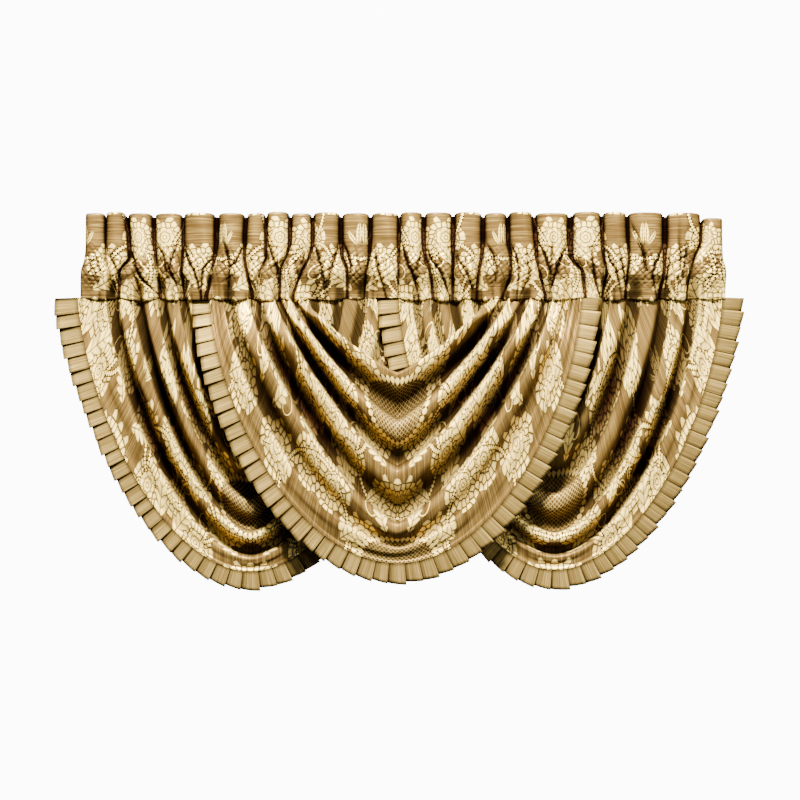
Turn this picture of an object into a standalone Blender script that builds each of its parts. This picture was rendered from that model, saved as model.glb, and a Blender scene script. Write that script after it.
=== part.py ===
"""A gathered window valance: three waterfall swags with knife-pleated trims on one rod-pocket heading.

Metres, +Z up. X runs along the rod, and the room is on the -Y side.
The origin is the middle of the heading's top edge, straight above the rod's centre line.
"Forward" is a distance from the wall side of the valance towards the room.
"""

import math

import bmesh
import bpy
from mathutils import Vector

# Driving sizes
POCKET_CENTRE_FORWARD = 0.0225
SEAM_Z = -0.153
SEWN_GAP = 0.0003
TRIM_GAP = 0.00045
SWAG_THICKNESS = 0.002
TRIM_THICKNESS = 0.0015
PLEATS_PER_COLUMN = 2
PLEAT_STEP_WIDTH = 0.0012
PLEAT_RISE = {"seam": 0.0008, "edge": 0.0020}

# Heading: the width of each gathered pipe along the rod, from the left end
HEADING_LEFT = -0.569
PIPE_WIDTHS = (
    0.038, 0.034, 0.052, 0.053, 0.061, 0.051, 0.038, 0.043, 0.041, 0.049, 0.054, 0.054,
    0.042, 0.052, 0.057, 0.045, 0.045, 0.068, 0.057, 0.046, 0.067, 0.065, 0.039,
)
RIGHT_END_DROP = 0.010
POCKET_END_OVERHANG = {"left": 0.009, "right": 0.005}

# How one pipe stands out across its width, where -1 is the slit beside it and 1 its crown
PIPE_PROFILE = (
    {"share": 0.00, "stand": -1.0},
    {"share": 0.15, "stand": 0.7},
    {"share": 0.50, "stand": 1.0},
    {"share": 0.85, "stand": 0.7},
)

# The heading's section, from its top edge down the room side and up the wall side
HEADING_SECTION = (
    {"z": 0.000, "forward": 0.0225, "pipes": 0.0110},
    {"z": -0.003, "forward": 0.0240, "pipes": 0.0110},
    {"z": -0.045, "forward": 0.0245, "pipes": 0.0120},
    {"z": -0.078, "forward": 0.0245, "pipes": 0.0065},
    {"z": -0.088, "forward": 0.0290, "pipes": 0.0030},
    {"z": -0.095, "forward": 0.0415, "pipes": 0.0025},
    {"z": -0.125, "forward": 0.0430, "pipes": 0.0035},
    {"z": -0.148, "forward": 0.0420, "pipes": 0.0030},
    {"z": SEAM_Z, "forward": 0.0400, "pipes": 0.0},
    {"z": SEAM_Z, "forward": 0.0030, "pipes": 0.0},
    {"z": -0.148, "forward": 0.0030, "pipes": 0.0015},
    {"z": -0.125, "forward": 0.0025, "pipes": 0.0015},
    {"z": -0.095, "forward": 0.0040, "pipes": 0.0015},
    {"z": -0.088, "forward": 0.0165, "pipes": 0.0030},
    {"z": -0.078, "forward": 0.0205, "pipes": 0.0065},
    {"z": -0.045, "forward": 0.0205, "pipes": 0.0120},
    {"z": -0.003, "forward": 0.0210, "pipes": 0.0110},
)

# The hollow that a rod goes through
POCKET_HOLLOW = {"back": 0.010, "front": 0.035, "low": -0.150, "high": -0.098}

# Swags. "hangs" is how far forward a swag's crests are on each side and in the middle, "seam" how
# far forward they are sewn to the heading, and "seam_dip" how deep the troughs are there.
# Each row of a fold table is one crest line, from the cowl at the top to the hem:
# where it leaves the heading to the left and right of the swag's middle, how far it drops,
# how round it hangs, how far it stands off the swag, and how deep the trough below it is.
FOLD_COLUMNS = ("left", "right", "drop", "round", "stand", "dip_left", "dip_mid", "dip_right")


def fold_table(*rows):
    return [dict(zip(FOLD_COLUMNS, row)) for row in rows]


CENTRE_SWAG = {
    "name": "swag_centre",
    "middle": -0.0045,
    "hangs": {"left": 0.090, "mid": 0.098, "right": 0.090},
    "seam": {"left": 0.037, "right": 0.037},
    "seam_dip": {"left": 0.010, "right": 0.010},
    "gathered_from": 0.75,
    "tuck": 0.014,
    "trim": {"left": 0.033, "mid": 0.036, "right": 0.034},
    "folds": fold_table(
        (0.175, 0.171, 0.139, 1.20, 0.000, 0.030, 0.030, 0.030),
        (0.200, 0.209, 0.238, 1.25, 0.002, 0.034, 0.022, 0.032),
        (0.229, 0.247, 0.320, 1.30, 0.000, 0.034, 0.024, 0.034),
        (0.279, 0.288, 0.420, 1.42, -0.004, 0.020, 0.009, 0.013),
        (0.322, 0.316, 0.455, 1.75, -0.018, 0.003, 0.002, 0.003),
        (0.338, 0.331, 0.477, 1.95, -0.024, 0.000, 0.000, 0.000),
    ),
}
RIGHT_SWAG = {
    "name": "swag_right",
    "middle": 0.279,
    "hangs": {"left": 0.032, "mid": 0.036, "right": 0.046},
    "seam": {"left": 0.023, "right": 0.031},
    "seam_dip": {"left": 0.006, "right": 0.018},
    "gathered_from": 0.50,
    "tuck": 0.0,
    "trim": {"left": 0.039, "mid": 0.035, "right": 0.039},
    "folds": fold_table(
        (0.112, 0.072, 0.171, 1.50, -0.001, 0.007, 0.012, 0.026),
        (0.160, 0.106, 0.270, 1.60, -0.001, 0.007, 0.018, 0.034),
        (0.198, 0.167, 0.371, 1.65, 0.000, 0.008, 0.018, 0.024),
        (0.230, 0.220, 0.437, 1.75, 0.000, 0.008, 0.020, 0.032),
        (0.262, 0.270, 0.470, 1.85, -0.001, 0.002, 0.003, 0.003),
        (0.281, 0.302, 0.492, 1.90, -0.004, 0.000, 0.000, 0.000),
    ),
}
LEFT_SWAG = {
    "name": "swag_left",
    "middle": -0.270,
    "hangs": {"left": 0.045, "mid": 0.035, "right": 0.014},
    "seam": {"left": 0.030, "right": 0.010},
    "seam_dip": {"left": 0.018, "right": 0.005},
    "gathered_from": 0.50,
    "tuck": 0.0,
    "trim": {"left": 0.044, "mid": 0.033, "right": 0.034},
    "folds": fold_table(
        (0.099, 0.088, 0.180, 1.50, -0.001, 0.020, 0.010, 0.006),
        (0.137, 0.137, 0.297, 1.60, -0.001, 0.032, 0.018, 0.006),
        (0.176, 0.176, 0.378, 1.65, 0.000, 0.032, 0.016, 0.006),
        (0.221, 0.221, 0.432, 1.62, 0.000, 0.034, 0.020, 0.006),
        (0.270, 0.266, 0.474, 1.78, -0.001, 0.003, 0.003, 0.002),
        (0.311, 0.305, 0.495, 1.88, -0.005, 0.000, 0.000, 0.000),
    ),
}
SWAGS = (LEFT_SWAG, RIGHT_SWAG, CENTRE_SWAG)
HALF_COLUMNS = 12
SPAN_ROWS = 6
FLAT_SPAN_ROWS = 2
FLAT_DIP = 0.0035

# How a trough lies between two crests: its flanks' steepness, and its lean towards the lower crest
FLANK_STEEPNESS = 0.045
TROUGH_LEAN = 0.11

TUCK = ((1.0, 0.012), (0.6, -0.002))
TUCK_AT_SEAM = 0.5

CLOTH_GOLD = (0.62, 0.45, 0.24, 1.0)
TRIM_GOLD = (0.60, 0.45, 0.25, 1.0)


def forward_to_y(forward):
    return POCKET_CENTRE_FORWARD - forward


def eased(low, high, value):
    """0 below low, 1 above high, and a smooth rise between them."""
    share = min(1.0, max(0.0, (value - low) / (high - low)))
    return share * share * (3.0 - 2.0 * share)


def cloth_material(name, colour, roughness):
    material = bpy.data.materials.new(name)
    material.use_nodes = True
    shader = material.node_tree.nodes["Principled BSDF"]
    shader.inputs["Base Color"].default_value = colour
    shader.inputs["Roughness"].default_value = roughness
    shader.inputs["Metallic"].default_value = 0.0
    return material


def object_of(name, bm, material, smooth_angle):
    """Turns a finished bmesh into a named object."""
    bmesh.ops.recalc_face_normals(bm, faces=bm.faces[:])
    bmesh.ops.triangulate(bm, faces=bm.faces[:])
    mesh = bpy.data.meshes.new(name)
    bm.to_mesh(mesh)
    bm.free()
    mesh.materials.append(material)
    mesh.shade_smooth()
    mesh.set_sharp_from_angle(angle=math.radians(smooth_angle))
    obj = bpy.data.objects.new(name, mesh)
    bpy.context.scene.collection.objects.link(obj)
    return obj


# Heading


def pipe_stations():
    """The columns along the rod: how far each is from the left end, and its pipe's stand."""
    stations = []
    start = 0.0
    for width in PIPE_WIDTHS:
        for part in PIPE_PROFILE:
            stations.append((start + part["share"] * width, part["stand"]))
        start += width
    stations.append((start, -1.0))
    return stations


def heading_point(along, stand, section):
    """A point of the heading's outer surface at one station and one row of the section."""
    length = sum(PIPE_WIDTHS)
    in_pocket = eased(-0.080, -0.100, section["z"])
    left_end = eased(0.03, 0.0, along) * POCKET_END_OVERHANG["left"] * in_pocket
    right_end = eased(length - 0.03, length, along) * POCKET_END_OVERHANG["right"] * in_pocket
    last_pipe = eased(length - PIPE_WIDTHS[-1] - 0.002, length - PIPE_WIDTHS[-1] + 0.006, along)
    lowered = last_pipe * RIGHT_END_DROP * eased(-0.045, 0.0, section["z"])
    x = HEADING_LEFT + along - left_end + right_end
    return Vector((x, forward_to_y(section["forward"] + section["pipes"] * stand), section["z"] - lowered))


def build_heading(material):
    """The gathered sleeve, swept along the rod, with the rod pocket left open from end to end."""
    bm = bmesh.new()
    rings = []
    for along, stand in pipe_stations():
        ring = [bm.verts.new(heading_point(along, stand, row)) for row in HEADING_SECTION]
        for first, second in zip(ring, ring[1:] + ring[:1]):
            bm.edges.new((first, second))
        rings.append(ring)
    for before, after in zip(rings, rings[1:]):
        loops = [edge for ring in (before, after) for vert in ring for edge in vert.link_edges
                 if all(end in ring for end in edge.verts)]
        bmesh.ops.bridge_loops(bm, edges=list(dict.fromkeys(loops)))

    hollow = []
    corners = [(side, level) for side, level in
               (("back", "low"), ("front", "low"), ("front", "high"), ("back", "high"))]
    for ring in (rings[0], rings[-1]):
        mouth = []
        for side, level in corners:
            z = POCKET_HOLLOW[level]
            beside = [vert.co.x for vert in ring if abs(vert.co.z - z) < 0.005]
            x = sum(beside) / len(beside)
            mouth.append(bm.verts.new((x, forward_to_y(POCKET_HOLLOW[side]), z)))
        mouth_edges = [bm.edges.new((first, second)) for first, second in zip(mouth, mouth[1:] + mouth[:1])]
        hollow.append(mouth_edges)
        rim = [edge for edge in dict.fromkeys(e for vert in ring for e in vert.link_edges)
               if all(end in ring for end in edge.verts)]
        bmesh.ops.triangle_fill(bm, use_beauty=True, edges=rim + mouth_edges)
    bmesh.ops.bridge_loops(bm, edges=hollow[0] + hollow[1])
    return object_of("heading", bm, material, 40.0)


# Swags


def crest_half(reach, drop, roundness, points):
    """One half of a crest line, from the heading to its lowest point, evenly spaced along its length."""
    bulge = 1.33 - 0.35 * roundness
    steps = 160
    curve = []
    for step in range(steps + 1):
        angle = math.pi / 2.0 * (1.0 - step / steps)
        across = reach * math.sin(angle) ** (2.0 / roundness)
        down = drop * math.cos(angle) ** (2.0 * bulge) if step else 0.0
        curve.append((across, -down))
    lengths = [0.0]
    for first, second in zip(curve, curve[1:]):
        lengths.append(lengths[-1] + math.dist(first, second))
    spaced = []
    at = 0
    for point in range(points + 1):
        wanted = lengths[-1] * point / points
        while at < steps - 1 and lengths[at + 1] < wanted:
            at += 1
        share = (wanted - lengths[at]) / (lengths[at + 1] - lengths[at])
        first, second = curve[at], curve[at + 1]
        across = first[0] + share * (second[0] - first[0])
        down = first[1] + share * (second[1] - first[1])
        spaced.append((across, down))
    return spaced


def crest_line(fold):
    """The whole crest line as (x, z) from left to right, about the swag's middle and the seam."""
    left = crest_half(fold["left"], fold["drop"], fold["round"], HALF_COLUMNS)
    right = crest_half(fold["right"], fold["drop"], fold["round"], HALF_COLUMNS)
    return [(-x, z) for x, z in left] + [(x, z) for x, z in reversed(right[:-1])]


def across_swag(left, mid, right, place):
    """A value that changes from left to mid to right, where place runs from -1 to 1."""
    side = left if place < 0.0 else right
    return mid + (side - mid) * eased(0.10, 0.60, abs(place))


def crest_forward(swag, fold, place):
    hangs = swag["hangs"]
    hung = across_swag(hangs["left"], hangs["mid"], hangs["right"], place) + fold["stand"]
    sewn = swag["seam"]["left" if place < 0.0 else "right"]
    return hung + (sewn - hung) * eased(swag["gathered_from"], 1.0, abs(place)) ** 1.5


def trough_depth(swag, fold, place):
    hung = across_swag(fold["dip_left"], fold["dip_mid"], fold["dip_right"], place)
    sewn = min(hung, swag["seam_dip"]["left" if place < 0.0 else "right"])
    return hung + (sewn - hung) * eased(swag["gathered_from"], 1.0, abs(place))


def swag_rows(swag):
    """The swag's surface as rows of (x, forward, z), from the tuck behind the cowl to the hem."""
    folds = swag["folds"]
    lines = [crest_line(fold) for fold in folds]
    places = [column / HALF_COLUMNS - 1.0 for column in range(2 * HALF_COLUMNS + 1)]
    rows = []
    for back, drop in TUCK if swag["tuck"] else ():
        row = []
        for place, (x, z) in zip(places, lines[0]):
            loose = 1.0 - eased(0.80, 1.0, abs(place))
            behind = swag["tuck"] * back * (TUCK_AT_SEAM + (1.0 - TUCK_AT_SEAM) * loose)
            row.append((x, crest_forward(swag, folds[0], place) - behind, z - drop * loose))
        rows.append(row)
    for upper, lower, line, next_line in zip(folds, folds[1:], lines, lines[1:]):
        steps = SPAN_ROWS if upper["dip_mid"] > FLAT_DIP else FLAT_SPAN_ROWS
        for step in range(steps):
            share = step / steps
            moved = share + FLANK_STEEPNESS * math.sin(4.0 * math.pi * share)
            moved += TROUGH_LEAN * math.sin(math.pi * share)
            dip = math.sin(math.pi * share) ** 2
            row = []
            for place, (x, z), (next_x, next_z) in zip(places, line, next_line):
                crest = crest_forward(swag, upper, place)
                crest += (crest_forward(swag, lower, place) - crest) * share
                forward = crest - trough_depth(swag, upper, place) * dip
                row.append((x + (next_x - x) * moved, forward, z + (next_z - z) * moved))
            rows.append(row)
    rows.append([(x, crest_forward(swag, folds[-1], place), z) for place, (x, z) in zip(places, lines[-1])])
    return rows


def placed(swag, x, forward, z):
    return Vector((swag["middle"] + x, forward_to_y(forward), SEAM_Z - SEWN_GAP + z))


def sheet_object(name, points, thickness, square_rows, material, smooth_angle):
    """A sheet of cloth through a grid of points, with a front, a back and closed rims."""
    height, width = len(points), len(points[0])
    bm = bmesh.new()
    bmesh.ops.create_grid(bm, x_segments=width - 1, y_segments=height - 1, size=1.0)
    bm.verts.ensure_lookup_table()
    for index, vert in enumerate(bm.verts):
        vert.co = points[index // width][index % width]
    bm.normal_update()
    away = bm.verts.layers.float_vector.new("away")
    facing = -1.0 if sum(vert.normal.y for vert in bm.verts) > 0.0 else 1.0
    for index, vert in enumerate(bm.verts):
        direction = vert.normal * facing
        if index % width in (0, width - 1):
            direction.z = 0.0
        if index // width in square_rows:
            direction = Vector((0.0, -1.0, 0.0))
        vert[away] = direction.normalized() * (thickness / 2.0)
    front = bm.verts[:]
    extruded = bmesh.ops.extrude_face_region(bm, geom=bm.faces[:])
    back = [item for item in extruded["geom"] if isinstance(item, bmesh.types.BMVert)]
    for vert in front:
        vert.co += vert[away]
    for vert in back:
        vert.co -= vert[away]
    return object_of(name, bm, material, smooth_angle)


def build_swag(swag, material):
    points = [[placed(swag, *point) for point in row] for row in swag_rows(swag)]
    return sheet_object(swag["name"], points, SWAG_THICKNESS, (len(points) - 1,), material, 70.0)


# Trims


def hem_stations(swag):
    """Where the pleats begin and end along the hem, each with its way out to the edge and its rise."""
    hem = [placed(swag, *point) for point in swag_rows(swag)[-1]]
    outward = []
    for index in range(len(hem)):
        along = hem[min(index + 1, len(hem) - 1)] - hem[max(index - 1, 0)]
        outward.append(Vector((along.z, 0.0, -along.x)).normalized())
    stations = []
    for index in range(len(hem) - 1):
        first, second = hem[index], hem[index + 1]
        inset = PLEAT_STEP_WIDTH / 2.0 / (second - first).length
        for pleat in range(PLEATS_PER_COLUMN):
            for share, rise in ((pleat / PLEATS_PER_COLUMN + inset, -1.0),
                                ((pleat + 1) / PLEATS_PER_COLUMN - inset, 1.0)):
                direction = outward[index].lerp(outward[index + 1], share).normalized()
                place = (index + share) / HALF_COLUMNS - 1.0
                width = swag["trim"]["mid"]
                end_width = swag["trim"]["left" if place < 0.0 else "right"]
                width += (end_width - width) * eased(0.6, 1.0, abs(place))
                stations.append((first.lerp(second, share), direction * width, rise))
    return stations


def build_trim(swag, material):
    """A knife-pleated strip along the hem: each pleat rises to its end and steps back to the next."""
    stations = hem_stations(swag)
    seam = [point + outward.normalized() * TRIM_GAP + Vector((0.0, -PLEAT_RISE["seam"] * rise, 0.0))
            for point, outward, rise in stations]
    edge = [point + outward + Vector((0.0, -PLEAT_RISE["edge"] * rise, 0.0))
            for point, outward, rise in stations]
    name = swag["name"].replace("swag", "trim")
    return sheet_object(name, (seam, edge), TRIM_THICKNESS, (0, 1), material, 30.0)


def main():
    for obj in list(bpy.data.objects):
        bpy.data.objects.remove(obj)
    heading_cloth = cloth_material("heading_jacquard", CLOTH_GOLD, 0.45)
    swag_cloth = cloth_material("swag_jacquard", CLOTH_GOLD, 0.45)
    trim_cloth = cloth_material("trim_ribbed_cloth", TRIM_GOLD, 0.55)
    build_heading(heading_cloth)
    for swag in SWAGS:
        build_swag(swag, swag_cloth)
        build_trim(swag, trim_cloth)


main()
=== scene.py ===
# %% [markdown]
# # A waterfall swag valance, dressed for its portrait
#
# The frame holds plain solids: one gathered heading with a rod pocket, three draped swags and three
# knife-pleated trims. Here each of them gets cloth with real folds, and then a woven jacquard, a
# studio and a camera.
#
# Every sheet of cloth is a grid of points worked out from a few short tables. A table row is one
# fold that the photo shows, so a fold can be moved by changing one number.

# %% Load the frame
import math

import bpy
import numpy as np
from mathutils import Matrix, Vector


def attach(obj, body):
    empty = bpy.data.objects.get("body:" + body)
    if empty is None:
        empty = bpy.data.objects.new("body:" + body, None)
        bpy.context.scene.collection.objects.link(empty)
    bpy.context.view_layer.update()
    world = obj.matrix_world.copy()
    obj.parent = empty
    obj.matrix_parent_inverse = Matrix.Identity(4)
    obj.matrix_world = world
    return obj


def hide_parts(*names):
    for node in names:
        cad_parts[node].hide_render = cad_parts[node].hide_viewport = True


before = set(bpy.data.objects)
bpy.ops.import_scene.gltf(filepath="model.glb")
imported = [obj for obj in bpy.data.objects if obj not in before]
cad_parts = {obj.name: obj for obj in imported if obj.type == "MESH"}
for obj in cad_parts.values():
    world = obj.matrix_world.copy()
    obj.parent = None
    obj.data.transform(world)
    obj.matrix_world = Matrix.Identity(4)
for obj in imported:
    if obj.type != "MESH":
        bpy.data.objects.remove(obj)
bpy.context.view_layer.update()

# %% [markdown]
# ## Sizes that all the cloth shares
#
# "Forward" is a distance from the wall side of the valance towards the room. The rod runs through
# the pocket, and the seam under the pocket holds the tops of the swags.

# %% Shared sizes
POCKET_CENTRE_FORWARD = 0.0225
SEAM_Z = -0.153
SEWN_GAP = 0.0003


def forward_to_y(forward):
    return POCKET_CENTRE_FORWARD - forward


def eased(low, high, value):
    """0 below low, 1 above high, and a smooth rise between them."""
    share = np.clip((value - low) / (high - low), 0.0, 1.0)
    return share * share * (3.0 - 2.0 * share)


def mixed(first, second, share):
    return first + (second - first) * share


def lengths_along(points):
    """How far each point of a polyline is from its first point, for one line or a grid of them."""
    steps = np.linalg.norm(np.diff(points, axis=0), axis=-1)
    return np.concatenate([np.zeros_like(steps[:1]), np.cumsum(steps, axis=0)])


def curve_through(table, column, at, flat_ends=False):
    """Reads one column of a table at any places, on a smooth curve that never overshoots."""
    places, values = np.array(table)[:, 0], np.array(table)[:, column]
    step = np.diff(places)
    slope = np.diff(values) / step
    product = slope[1:] * slope[:-1]
    inner = np.where(product > 0.0, 2.0 * product / (slope[1:] + slope[:-1] + 1e-12), 0.0)
    ends = (0.0, 0.0) if flat_ends else (slope[0], slope[-1])
    tangent = np.concatenate([[ends[0]], inner, [ends[1]]])
    cell = np.clip(np.searchsorted(places, at, side="right") - 1, 0, len(step) - 1)
    t = (at - places[cell]) / step[cell]
    return (values[cell] * (1.0 + 2.0 * t) * (1.0 - t) ** 2 + values[cell + 1] * t * t * (3.0 - 2.0 * t)
            + step[cell] * (tangent[cell] * t * (1.0 - t) ** 2 - tangent[cell + 1] * t * t * (1.0 - t)))


# %% [markdown]
# ## From a grid of points to a sheet of cloth
#
# Each sheet carries a UV map in metres of flat cloth, so that the weave keeps its real size through
# every fold. It also carries one more number at each point: painted shade, how far its colour is
# darkened down in the folds, where the shade falls.

# %% Cloth from a grid
def cloth_from_grid(name, points, cloth_u, cloth_v, painted_shade, material, thickness=0.0):
    rows, columns = points.shape[:2]
    mesh = bpy.data.meshes.new(name)
    corner = np.arange((rows - 1) * columns).reshape(rows - 1, columns)[:, :-1]
    quads = np.stack([corner, corner + 1, corner + columns + 1, corner + columns], axis=-1).reshape(-1, 4)
    mesh.from_pydata(points.reshape(-1, 3), [], quads)
    flat = np.stack([np.broadcast_to(part, (rows, columns)) for part in (cloth_u, cloth_v)], axis=-1)
    layer = mesh.uv_layers.new(name="cloth")
    layer.uv.foreach_set("vector", flat.reshape(-1, 2)[quads.ravel()].ravel())
    # The painted shade is kept as one number on each point
    depth = mesh.attributes.new("painted_shade", "FLOAT", "POINT")
    depth.data.foreach_set("value", np.broadcast_to(painted_shade, (rows, columns)).astype(np.float32).ravel())
    mesh.shade_smooth()
    mesh.materials.append(material)
    obj = bpy.data.objects.new(name, mesh)
    bpy.context.scene.collection.objects.link(obj)
    if thickness:
        solid = obj.modifiers.new("cloth thickness", "SOLIDIFY")
        solid.thickness = thickness
        solid.offset = 0.0
    area = sum(face.area for face in mesh.polygons)
    print(name, "has", len(mesh.polygons), "faces and", round(area, 3), "square metres of cloth")
    return obj


# %% [markdown]
# ## Shader maths that reads like sums
#
# The weave is all arithmetic on the cloth's own measurements. This small class wraps a node's
# output, so the sums can be written with plus and times signs, and every node is made in one place.

# %% Values in a shader
class Value:
    """A number, colour or direction in a shader: the output of a node."""

    def __init__(self, tree, socket=0.0):
        self.tree = tree
        self.socket = socket

    def node(self, kind, settings, sockets, output=0):
        """Makes a node, with its settings first and then the values or links of its sockets."""
        made = self.tree.nodes.new(kind)
        for name, setting in settings.items():
            setattr(made, name, setting)
        for name, item in sockets.items():
            plug(self.tree, item, made.inputs[name])
        return Value(self.tree, made.outputs[output])

    def output(self, name):
        """Another output of the node that this value comes from."""
        return Value(self.tree, self.socket.node.outputs[name])

    def maths(self, operation, *others):
        return self.node("ShaderNodeMath", {"operation": operation}, dict(enumerate((self, *others))))

    def __add__(self, other):
        return self.maths("ADD", other)

    __radd__ = __add__

    def __sub__(self, other):
        return self.maths("SUBTRACT", other)

    def __rsub__(self, other):
        return Value(self.tree, other).maths("SUBTRACT", self)

    def __mul__(self, other):
        return self.maths("MULTIPLY", other)

    __rmul__ = __mul__

    def __truediv__(self, other):
        return self.maths("DIVIDE", other)

    def __rtruediv__(self, other):
        return Value(self.tree, other).maths("DIVIDE", self)

    def abs(self):
        return self.maths("ABSOLUTE")

    def sin(self):
        return self.maths("SINE")

    def cos(self):
        return self.maths("COSINE")

    def wrapped(self, length):
        """The distance to the nearest even multiple of length."""
        return self.maths("PINGPONG", length)

    def repeated(self, length):
        """0 to length, again and again."""
        return self.maths("WRAP", length, 0.0)

    def from_nearest(self, middle, length):
        """The signed distance to the nearest of the places that repeat every length from middle."""
        return self.maths("WRAP", middle + length / 2.0, middle - length / 2.0) - middle

    def below(self, other):
        return self.maths("LESS_THAN", other)

    def lesser(self, other):
        return self.maths("MINIMUM", other)

    def greater(self, other):
        return self.maths("MAXIMUM", other)

    def power(self, other):
        return self.maths("POWER", other)

    def angle_to(self, other):
        return self.maths("ARCTAN2", other)

    def length_with(self, other):
        sides = self.joined(other)
        return self.node("ShaderNodeVectorMath", {"operation": "LENGTH"}, {"Vector": sides}, "Value")

    def clamped(self):
        return self.node("ShaderNodeClamp", {}, {"Value": self})

    def rise(self, low, high):
        """0 below low, 1 above high, and a smooth rise between them."""
        return self.node("ShaderNodeMapRange", {"interpolation_type": "SMOOTHSTEP"},
                         {"Value": self, "From Min": low, "From Max": high}, "Result")

    def fall(self, low, high):
        """1 below low, 0 above high, and a smooth fall between them."""
        return self.rise(high, low)

    def mix(self, other, share):
        """This number where share is 0 and the other where it is 1."""
        return self.node("ShaderNodeMix", {"data_type": "FLOAT"}, {"Factor": share, "A": self, "B": other})

    def blended(self, other, share, blend="MIX"):
        """This colour where share is 0 and the other where it is 1."""
        return self.node("ShaderNodeMix", {"data_type": "RGBA", "blend_type": blend},
                         {"Factor": share, "A": self, "B": other}, "Result")

    def joined(self, other):
        """A direction from two numbers."""
        return self.node("ShaderNodeCombineXYZ", {}, {"X": self, "Y": other})

    def seen_from(self, place, turn, scale):
        """A direction's two numbers, measured from a place along turned axes, in units of scale."""
        sockets = {"Vector": self, "Location": (*place, 0.0), "Rotation": (0.0, 0.0, turn),
                   "Scale": (*scale, 1.0)}
        moved = self.node("ShaderNodeMapping", {"vector_type": "TEXTURE"}, sockets)
        first = self.node("ShaderNodeSeparateXYZ", {}, {"Vector": moved}, "X")
        return first, first.output("Y")

    def noise(self, other, detail=1.0):
        """Soft noise over two measurements, about 1 unit from hill to hill."""
        return self.node("ShaderNodeTexNoise", {"noise_dimensions": "2D"},
                         {"Vector": self.joined(other), "Scale": 1.0, "Detail": detail})


def plug(tree, item, socket):
    """Sets a socket to a constant, or links it to a value."""
    value = item.socket if isinstance(item, Value) else item
    if isinstance(value, (int, float, tuple)):
        socket.default_value = value
    else:
        tree.links.new(value, socket)


def new_material(name):
    material = bpy.data.materials.new(name)
    material.use_nodes = True
    tree = material.node_tree
    return material, Value(tree), tree.nodes["Principled BSDF"]


def cloth_measures(start):
    """The flat cloth's two measurements at the point being shaded, in metres."""
    place = start.node("ShaderNodeUVMap", {"uv_map": "cloth"}, {})
    across = start.node("ShaderNodeSeparateXYZ", {}, {"Vector": place}, "X")
    return across, across.output("Y")


# %% [markdown]
# ## The ribbed gold ground
#
# Fine ribs of uneven threads run one way through the cloth. Some threads are dark and a few are
# bright, which gives the streaks that the photo shows. The renderer's film look pales strong
# light, so the colours here are deeper than the cloth looks in the end.

# %% Ground and finish
GROUND_DARK = (0.074, 0.0405, 0.0108, 1.0)
GROUND_LIGHT = (0.164, 0.100, 0.0255, 1.0)
GROUND_BRIGHT = (0.335, 0.224, 0.0620, 1.0)
TRIM_DARK = (0.125, 0.079, 0.0190, 1.0)
TRIM_LIGHT = (0.250, 0.167, 0.0460, 1.0)
# Dark brown that the painted shade multiplies the cloth's colour by, down in folds and slits
PAINTED_CREASE_SHADE = (0.024, 0.014, 0.0200, 1.0)
RIB_PITCH = 0.0026
RELIEF_HEIGHT = 0.0003
RELIEF_STRENGTH = 0.6
METAL_SHARE = 0.30
JACQUARD_ROUGHNESS = 0.42
RIBBED_ROUGHNESS = 0.5


def ribbed(start, across, along, dark, light, bright):
    """A ribbed cloth's colour and how high its ribs stand, from 0 to 1."""
    streaks = (across / RIB_PITCH).noise(along * 12.0, detail=2.0)
    bands = (across / (RIB_PITCH * 6.0)).noise(along * 5.0 + 9.0)
    tone = (streaks * 0.72 + bands * 0.38).rise(0.34, 0.76)
    colour = Value(start.tree, dark).blended(light, tone)
    return colour.blended(bright, streaks.rise(0.60, 0.76) * 0.5), streaks


def finish_cloth(start, shader, colour, relief, roughness):
    """Puts a cloth's colour, sheen and relief on its shader, with painted shade in the creases."""
    # Painted shade: the colour is multiplied towards dark brown where the folds would be in shade
    painted_shade = start.node("ShaderNodeAttribute", {"attribute_name": "painted_shade"}, {}, "Fac")
    plug(start.tree, colour.blended(PAINTED_CREASE_SHADE, painted_shade, "MULTIPLY"), shader.inputs["Base Color"])
    shader.inputs["Roughness"].default_value = roughness
    shader.inputs["Metallic"].default_value = METAL_SHARE
    shader.inputs["Specular IOR Level"].default_value = 0.0
    sockets = {"Strength": RELIEF_STRENGTH, "Distance": RELIEF_HEIGHT, "Height": relief}
    bump = start.node("ShaderNodeBump", {}, sockets)
    plug(start.tree, bump, shader.inputs["Normal"])


def make_ribbed_cloth():
    material, start, shader = new_material("ribbed_cloth")
    u, v = cloth_measures(start)
    colour, relief = ribbed(start, u, v, TRIM_DARK, TRIM_LIGHT, GROUND_BRIGHT)
    finish_cloth(start, shader, colour, relief, RIBBED_ROUGHNESS)
    return material


# %% [markdown]
# ## The woven motifs
#
# The jacquard repeats every 360 by 340 mm and is mirrored about its middle. Petals come from the
# cells of a Voronoi texture, bent into rings about the middle of each cluster. A cell is cream when
# its centre lies inside the cluster, so the edge follows whole petals. Scrolls, strings of beads,
# leaves and round flowers go on and about them, and each swag has an oval medallion filled with a
# diamond lattice. These are stock damask forms, and none is traced.

# %% Tables of motifs
CREAM = (0.970, 0.680, 0.165, 1.0)
CREAM_SHADE = (0.360, 0.238, 0.0700, 1.0)
OUTLINE = (0.020, 0.0095, 0.0038, 1.0)
REPEAT_WIDTH = 0.36
REPEAT_HEIGHT = 0.34

# Petal clusters: where each lies in half a repeat, and its half sizes
CLUSTERS = (
    (0.066, 0.040, 0.048, 0.038),
    (0.150, 0.085, 0.042, 0.046),
    (0.006, 0.150, 0.044, 0.042),
    (0.112, 0.180, 0.036, 0.044),
    (0.176, 0.218, 0.036, 0.034),
    (0.056, 0.256, 0.042, 0.034),
    (0.140, 0.302, 0.044, 0.034),
)
PETAL_RINGS = 3.5
PETALS_ROUND = 19.0
PETAL_EVENNESS = 0.72

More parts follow.
